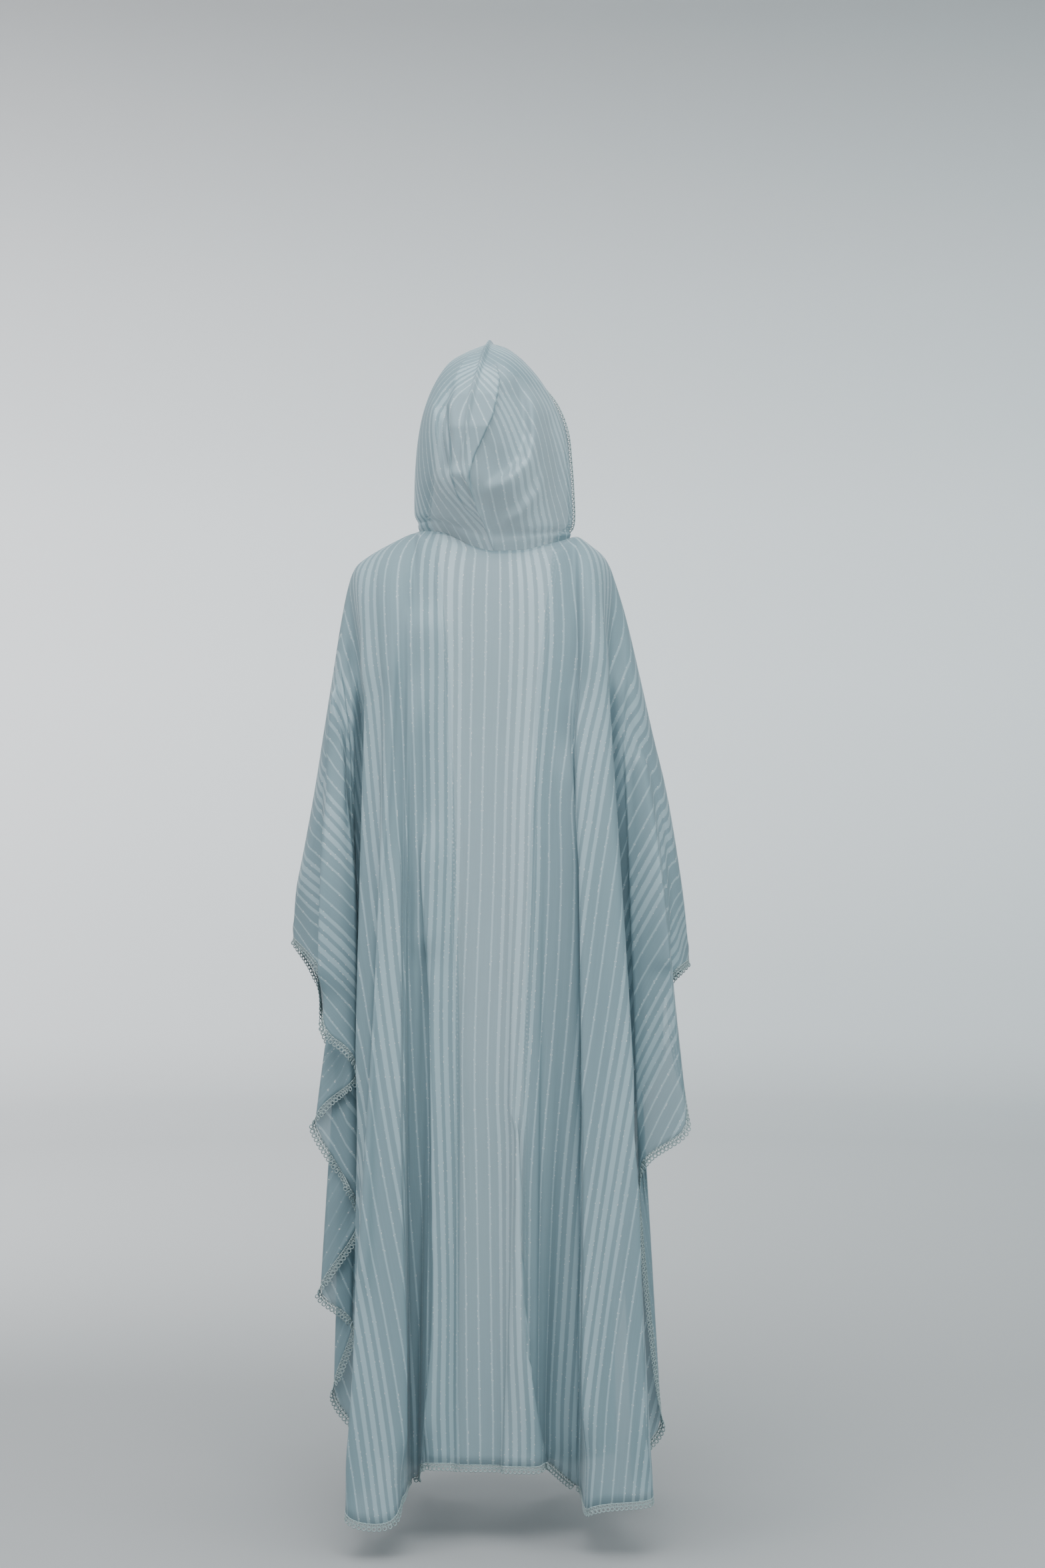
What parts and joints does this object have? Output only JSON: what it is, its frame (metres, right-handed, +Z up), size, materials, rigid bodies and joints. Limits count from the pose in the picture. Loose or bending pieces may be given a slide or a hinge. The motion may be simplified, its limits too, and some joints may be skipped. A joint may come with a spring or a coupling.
{
  "type": "hooded open robe",
  "caption": "Long open hooded robe with wide bat-wing sleeves and crochet-edged slanting sides, holding the shape it has when worn.",
  "frame": {"origin": "middle of the neck base at shoulder height, where the shoulders carry the robe", "axes": "+Z up, +Y the way the wearer faces, +X the wearer's right"},
  "size_m": [0.5824, 0.4074, 1.6968],
  "materials": {
    "cloth": "semi-sheer satin stripe",
    "edging": "matt crochet"
  },
  "bodies": {
    "root": {"back_panel": "cloth", "edging_back": "edging", "front_left": "cloth", "edging_front_left": "edging", "edging_opening_left": "edging", "front_right": "cloth", "edging_front_right": "edging", "edging_opening_right": "edging", "hood_left": "cloth", "edging_hood_left": "edging", "hood_right": "cloth", "edging_hood_right": "edging"}
  },
  "joints": []
}
